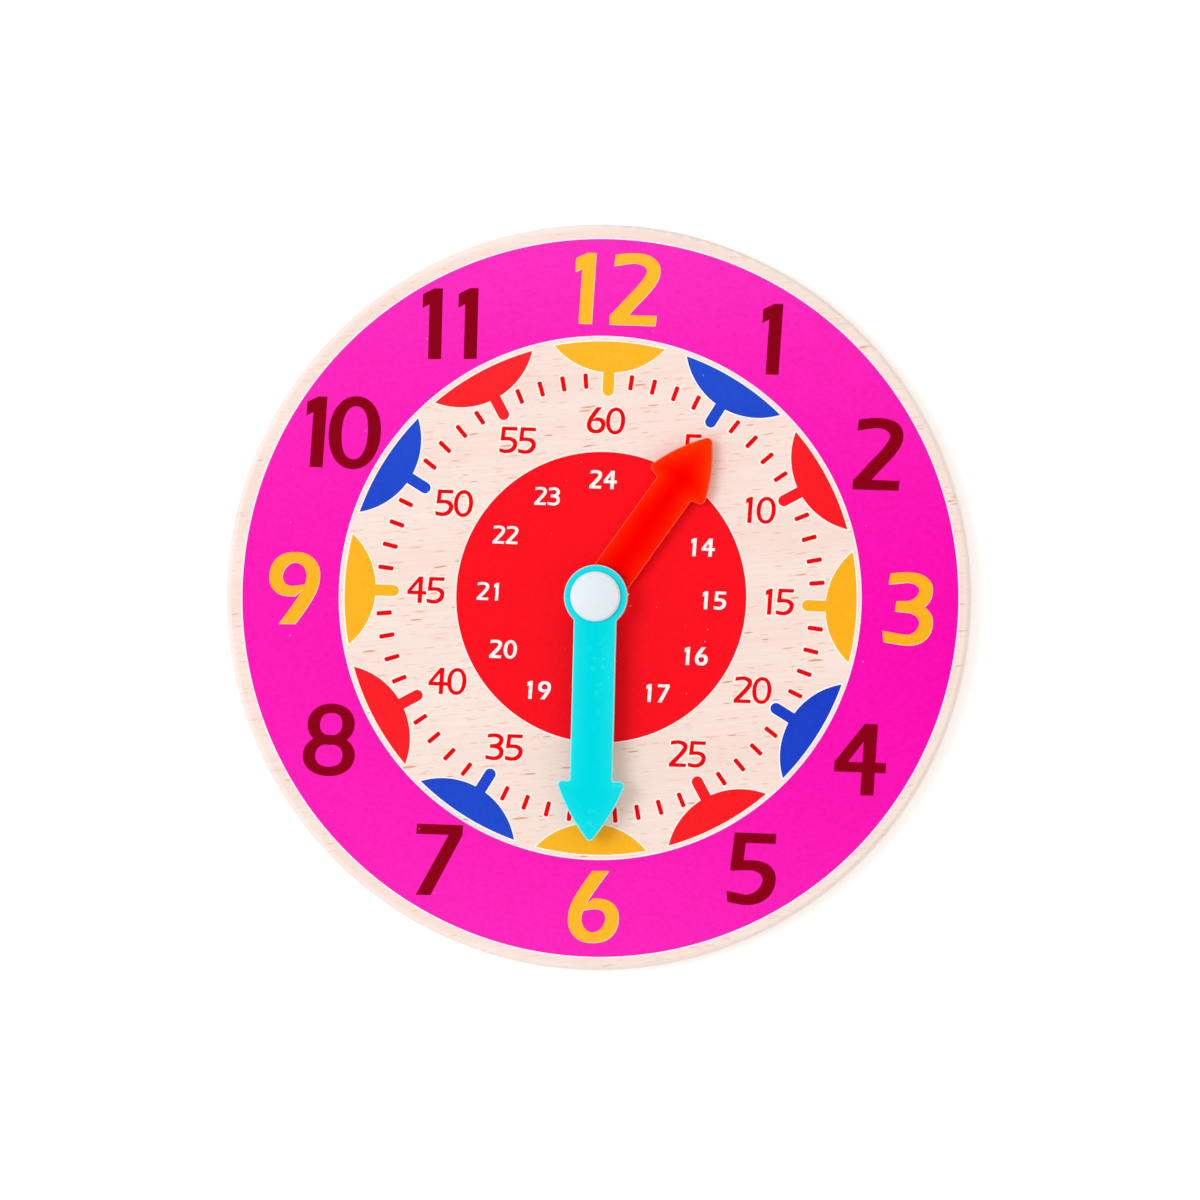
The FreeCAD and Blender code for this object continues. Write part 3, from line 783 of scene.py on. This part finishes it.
def ink(name, colour, hole_colour, pale=None, mottle=0.08, gloss=0.12):
    """Printing ink over sanded wood: faint mottling, pinholes of a lighter tone, the grain below.

    With a pale tone, the ink is painted paler towards twelve o'clock and six o'clock and towards the
    upper left: painted light and sheen in a broad band across the face. The share of the pale tone is
    0.17 - 0.15 x + 0.17 y + 0.65 y^2 in units of the board's radius less its rim.
    """
    coat = Finish(name, Roughness=0.42, Specular_IOR_Level=gloss)
    # painted light and sheen: the pale tone is mixed in where the face is to look brighter
    if pale:
        place = coat.scaled((70.0, 70.0, 70.0))
        lean = coat.vector("DOT_PRODUCT", place, (-0.15, 0.17, 0))["Value"]
        height = coat.node("SeparateXYZ", {0: place}).outputs["Y"]
        band = coat.maths("MULTIPLY", coat.maths("MULTIPLY", height, height), 0.65)
        painted_light_share = coat.maths("ADD", coat.maths("ADD", lean, band), 0.17, clamp=True)
        colour = coat.mix(painted_light_share, colour, pale)
    cloud = coat.noise(coat.scaled((0.9, 0.7, 0.9)), detail=3.0, rough=0.65)
    shade = coat.spread(cloud, 0.3, 0.7, 1 - mottle, 1 + mottle)
    base = coat.mix(1.0, colour, coat.joined(shade, shade, shade), "MULTIPLY")
    distance, chance = coat.cells(coat.scaled((3.4, 3.4, 3.4)))
    crowd = coat.spread(coat.noise(coat.scaled((13.0, 13.0, 13.0))), 0.45, 0.7, 0.5, 1.6)
    reach = coat.maths("MULTIPLY", coat.spread(chance["Red"], 0.0, 1.0, 0.018, 0.07), crowd)
    hole = coat.spread(coat.maths("DIVIDE", distance, reach), 0.6, 1.0, 1.0, 0.0)
    hole = coat.maths("MULTIPLY", hole, coat.spread(chance["Green"], 0.0, 1.0, 0.2, 0.9))
    dotted = coat.mix(hole, base, hole_colour)
    height = coat.maths("ADD", grain_height(coat), coat.maths("MULTIPLY", cloud, 0.4))
    return coat.give(Base_Color=dotted, Normal=coat.bump(height, 0.01, 0.45),
                     Roughness=coat.spread(cloud, 0.3, 0.7, 0.38, 0.46))


def moulded(name, middle, edge, line, painted_highlight_share, shaft_painted_glow, head_painted_glow, tip_painted_glow, scuff, glow,
            radius):
    """Moulded plastic with a few pale scuffs and a fine satin skin.

    It is painted lighter towards its edges, by one share along the shaft and another on the arrowhead,
    and lighter by a third towards the point: a painted glow for light that passes through the plastic.
    A narrow painted highlight follows the rounded edge itself, as strong as its own share.
    """
    plastic = Finish(name, Roughness=0.34, Subsurface_Weight=glow, Subsurface_Radius=radius,
                     Subsurface_Scale=LIGHT_DEPTH * MM, Specular_IOR_Level=0.35, Specular_Tint=middle)
    rim = plastic.node("Attribute", attribute_name="rim").outputs["Fac"]
    along = plastic.node("Attribute", attribute_name="along").outputs["Fac"]
    flow = plastic.noise(plastic.scaled((7.0, 7.0, 7.0)), detail=2.0)
    cloud = plastic.noise(plastic.scaled((1.1, 1.1, 1.1)), detail=3.0, rough=0.6)
    # painted glow: lighter towards the edges, more on the arrowhead, standing in for light that passes
    # through the plastic
    share = plastic.maths("MULTIPLY", plastic.spread(rim, 0.05, 0.75),
                          plastic.spread(along, 0.5, 0.85, shaft_painted_glow, head_painted_glow))
    share = plastic.maths("MULTIPLY", share, plastic.spread(flow, 0.3, 0.7, 0.8, 1.2))
    # painted glow towards the point as well
    share = plastic.maths("ADD", share, plastic.spread(along, 0.75, 1.0, 0.0, tip_painted_glow))
    scuffs = plastic.maths("MULTIPLY", plastic.spread(flow, 0.5, 0.65),
                           plastic.spread(cloud, 0.55, 0.75, 0.0, scuff))
    # the edge colour is both the painted glow and the colour of the pale scuffs
    body = plastic.mix(plastic.maths("ADD", share, scuffs, clamp=True), middle, edge)
    # painted highlight: a narrow pale line where the rounded edge catches the light
    on_painted_highlight = plastic.maths("MULTIPLY", plastic.spread(rim, 0.84, 0.94, smooth=True), painted_highlight_share)
    tone = plastic.mix(on_painted_highlight, body, line)
    skin = plastic.noise(plastic.scaled((0.35, 0.35, 0.35)), detail=2.0)
    relief = plastic.bump(flow, 0.12, 0.25, under=plastic.bump(skin, 0.006, 0.35))
    return plastic.give(Base_Color=tone, Normal=relief,
                        Roughness=plastic.spread(skin, 0.3, 0.7, 0.3, 0.38))


def white_plastic(name, highlight_from=None):
    """Cool white moulded plastic of the pivot, a little paler and pinkish outside a given radius: a
    painted highlight on the cap's rounded edge.
    """
    plastic = Finish(name, Roughness=0.5, Subsurface_Weight=0.15, Subsurface_Scale=MM,
                     Specular_IOR_Level=0.3)
    cloud = plastic.noise(plastic.scaled((3.0, 3.0, 3.0)), detail=2.0)
    tone = plastic.mix(cloud, display(226, 235, 241), display(233, 241, 247))
    if highlight_from:
        # painted highlight: paler and pinkish on the rounded edge
        outside = plastic.spread(plastic.radius(), highlight_from - 0.1, highlight_from + 0.1, 0.0, 0.7, smooth=True)
        tone = plastic.mix(outside, tone, display(255, 243, 245))
    skin = plastic.noise(plastic.scaled((0.3, 0.3, 0.3)), detail=2.0)
    return plastic.give(Base_Color=tone, Normal=plastic.bump(skin, 0.005, 0.3),
                        Roughness=plastic.spread(cloud, 0.3, 0.7, 0.46, 0.54))


def nylon():
    """Natural nylon of the washers, slightly yellow and matt."""
    plastic = Finish("natural_nylon", Roughness=0.55, Subsurface_Weight=0.2, Subsurface_Scale=MM)
    cloud = plastic.noise(plastic.scaled((1.2, 1.2, 1.2)), detail=3.0)
    tone = plastic.mix(cloud, display(226, 224, 212), display(240, 238, 228))
    return plastic.give(Base_Color=tone, Normal=plastic.bump(cloud, 0.01, 0.4),
                        Roughness=plastic.spread(cloud, 0.3, 0.7, 0.5, 0.6))


# ---------------------------------------------------------------- the clock

wood = beech()
washer = nylon()
for node_name, finish in (("dial_board", wood), ("rear_socket", white_plastic("socket_plastic")),
                          ("front_cap", white_plastic("cap_plastic", CAP_HIGHLIGHT_FROM)),
                          ("rear_washer", washer), ("dial_washer", washer), ("mid_washer", washer)):
    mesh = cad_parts[node_name].data
    mesh.materials.clear()
    mesh.materials.append(finish)

# an ink's third colour, where given, is its pale tone of painted light and sheen
magenta = ink("magenta_ink", display(252, 2, 178), display(255, 170, 232), display(253, 44, 194),
              gloss=0.05)
maroon = ink("maroon_ink", display(138, 0, 21), display(225, 80, 130), gloss=0.02)
yellow = ink("yellow_ink", display(255, 178, 18), display(255, 215, 130), display(255, 190, 38),
             mottle=0.04)
blue = ink("blue_ink", display(9, 56, 199), display(130, 160, 245), display(34, 88, 216))
red = ink("red_ink", display(252, 2, 20), display(255, 130, 120), display(253, 38, 44), mottle=0.05)
deep_red = ink("minute_red_ink", display(251, 0, 8), display(255, 130, 120), mottle=0.05, gloss=0.03)
bright_red = ink("centre_red_ink", display(253, 9, 27), display(255, 160, 165), mottle=0.05, gloss=0.06)
white_ink = ink("white_ink", display(255, 254, 252), display(255, 235, 225), mottle=0.02)
cream = ink("first_coat", display(255, 252, 242), display(250, 226, 210), mottle=0.02)
pale_yellow = ink("yellow_first_coat", display(255, 244, 178), display(250, 226, 160), mottle=0.02)

band_film("hour_ring", RING_INNER, RING_OUTER, INK_TOP, magenta)
band_film("centre_disc", BORE_RADIUS + DISC_HOLE, CENTRE_RADIUS, INK_TOP, bright_red, DISC_SHIFT,
          steps=240)
band_film("ring_first_coat", RING_INNER - UNDERPRINT_MARGIN, RING_OUTER + UNDERPRINT_MARGIN,
          UNDERPRINT_TOP, cream)
band_film("centre_first_coat", BORE_RADIUS + COAT_HOLE, CENTRE_RADIUS + UNDERPRINT_MARGIN,
          UNDERPRINT_TOP, cream, DISC_SHIFT, steps=240)

for start, (colour, coat) in enumerate((("yellow", yellow), ("blue", blue), ("red", red))):
    moons = [shape for hour in range(start, 12, 3) for shape in half_moon(hour)]
    film(f"half_moons_{colour}", moons, INK_TOP, coat, MARK_SHIFT)
moons = [shape for hour in range(12) for shape in half_moon(hour, UNDERPRINT_MARGIN)]
film("half_moons_first_coat", moons, UNDERPRINT_TOP, cream, MARK_SHIFT)

film("minute_ticks", ticks(), INK_TOP, deep_red, MARK_SHIFT)
film("minute_ticks_first_coat", ticks(UNDERPRINT_MARGIN), UNDERPRINT_TOP, cream, MARK_SHIFT)

yellow_hours = [entry for entry in HOUR_NUMERALS if entry[0] in YELLOW_HOURS]
maroon_hours = [entry for entry in HOUR_NUMERALS if entry[0] not in YELLOW_HOURS]
slipped = (PRINT_SHIFT[0] + NUMERAL_COAT_SLIP[0], PRINT_SHIFT[1] + NUMERAL_COAT_SLIP[1])
film("hour_numerals_yellow", numerals(yellow_hours, HOUR_STYLE), OVERPRINT_TOP, yellow)
film("hour_numerals_first_coat", numerals(yellow_hours, HOUR_STYLE), NUMERAL_COAT_TOP, pale_yellow,
     slipped)
film("hour_numerals_maroon", numerals(maroon_hours, HOUR_STYLE), OVERPRINT_TOP, maroon)
film("minute_numerals", numerals(MINUTE_NUMERALS, MINUTE_STYLE), INK_TOP, deep_red)
film("minute_numerals_first_coat", numerals(MINUTE_NUMERALS, MINUTE_STYLE, UNDERPRINT_MARGIN),
     UNDERPRINT_TOP, cream)
day_shapes = [shape for entry in DAY_NUMERALS
              for shape in numeral(entry, LIGHT_DAY_STYLE if entry[0] in LIGHT_DAYS else DAY_STYLE)]
film("day_numerals", day_shapes, OVERPRINT_TOP, white_ink)

# edge is the colour of a hand's painted glow and of its scuffs; line is the colour of its painted
# highlight along the rounded edge
red_orange = moulded(
    "red_orange_plastic", middle=display(255, 0, 0), edge=display(255, 58, 0),
    line=display(255, 120, 100), painted_highlight_share=0.4, shaft_painted_glow=0.32, head_painted_glow=0.85, tip_painted_glow=0.4,
    scuff=0.1, glow=0.3, radius=(1.0, 0.3, 0.2))
turquoise = moulded(
    "turquoise_plastic", middle=display(0, 221, 230), edge=display(50, 233, 240),
    line=display(205, 253, 254), painted_highlight_share=0.75, shaft_painted_glow=0.4, head_painted_glow=0.25, tip_painted_glow=0.05,
    scuff=1.2, glow=0.25, radius=(0.3, 1.0, 1.0))
make_hand("hour_hand", "hour", HOUR_HAND, red_orange)
make_hand("minute_hand", "minute", MINUTE_HAND, turquoise)
make_gate_mark(turquoise)


# ---------------------------------------------------------------- floor, light and camera

def make_floor():
    """A wide pale floor round the board, brighter and so plain white where it is seen directly.

    It is open under the board's flat back and clear from below, so that the back can be seen too.
    """
    floor_finish = Finish("pale_floor", Roughness=0.9, Specular_IOR_Level=0.1)
    cloud = floor_finish.noise(floor_finish.scaled((40.0, 40.0, 40.0)), detail=2.0)
    tone = floor_finish.mix(cloud, display(244, 244, 245), display(250, 250, 250))
    floor_finish.shader.inputs["Emission Color"].default_value = WHITE
    lift = floor_finish.maths("MULTIPLY", floor_finish.seen(), FLOOR_LIFT)
    floor_finish.give(Base_Color=tone, Emission_Strength=lift)
    from_below = floor_finish.node("NewGeometry").outputs["Backfacing"]
    sides = floor_finish.node("MixShader", {0: from_below, 1: floor_finish.shader.outputs[0],
                                            2: floor_finish.node("BsdfTransparent").outputs[0]})
    floor_finish.links.new(sides.outputs[0], floor_finish.nodes["Material Output"].inputs["Surface"])
    steps = 360
    rings = np.vstack([arc(radius, 0, 360, steps)[:-1] for radius in reversed(FLOOR_REACH)])
    points = np.column_stack([rings, np.zeros(len(rings))])
    new_piece("floor", points, [wall_faces(steps, 2)], floor_finish.material)


def area_light(name, place, size, power, colour):
    """A square lamp at place, in millimetres, that faces the pivot."""
    lamp = bpy.data.lights.new(name, "AREA")
    lamp.shape = "SQUARE"
    lamp.size = size * MM
    lamp.energy = power
    lamp.color = colour
    thing = bpy.data.objects.new(name, lamp)
    thing.location = Vector(place) * MM
    thing.rotation_euler = (-Vector(place)).to_track_quat("-Z", "Y").to_euler()
    bpy.context.scene.collection.objects.link(thing)


def make_light():
    """A soft key lamp from the left, a weak one from the right and even light from all round."""
    area_light("key", place=(-1120.0, 200.0, 1720.0), size=1000.0, power=13.6, colour=(0.87, 1.0, 1.15))
    area_light("fill", place=(1350.0, -450.0, 1500.0), size=900.0, power=1.6, colour=WHITE[:3])
    world = bpy.data.worlds.new("room")
    world.use_nodes = True
    room = Shading(world.node_tree)
    seen = room.seen()
    backdrop = room.nodes["Background"].inputs
    extra = room.maths("MULTIPLY", seen, 1 - ROOM_LEVEL)
    room.links.new(room.mix(seen, ROOM_TINT, WHITE), backdrop["Color"])
    room.links.new(room.maths("ADD", extra, ROOM_LEVEL), backdrop["Strength"])
    bpy.context.scene.world = world


def make_camera():
    """A long lens that looks at the dial from VIEW_TILT off its axis."""
    turn, tilt = math.radians(DIAL_TURN), math.radians(VIEW_TILT)
    right = Vector((math.cos(turn), math.sin(turn), 0))
    up = Vector((-math.sin(turn), math.cos(turn), 0))
    aim = right * AIM[0] + up * AIM[1] + Vector((0, 0, FACE))
    towards = math.radians(VIEW_FROM)
    lean = (right * math.cos(towards) + up * math.sin(towards)) * math.sin(tilt)
    back = lean + Vector((0, 0, math.cos(tilt)))
    side = up.cross(back).normalized()
    upright = back.cross(side)
    lens = bpy.data.cameras.new("camera")
    lens.lens = lens.sensor_width * VIEW_DISTANCE / VIEW_WIDTH
    lens.clip_start, lens.clip_end = 0.05, 10.0
    camera = bpy.data.objects.new("camera", lens)
    camera.location = (aim + back * VIEW_DISTANCE) * MM
    camera.rotation_euler = Matrix((side, upright, back)).transposed().to_euler()
    bpy.context.scene.collection.objects.link(camera)
    bpy.context.scene.camera = camera


make_floor()
make_light()
make_camera()
bpy.context.scene.view_settings.view_transform = "Standard"
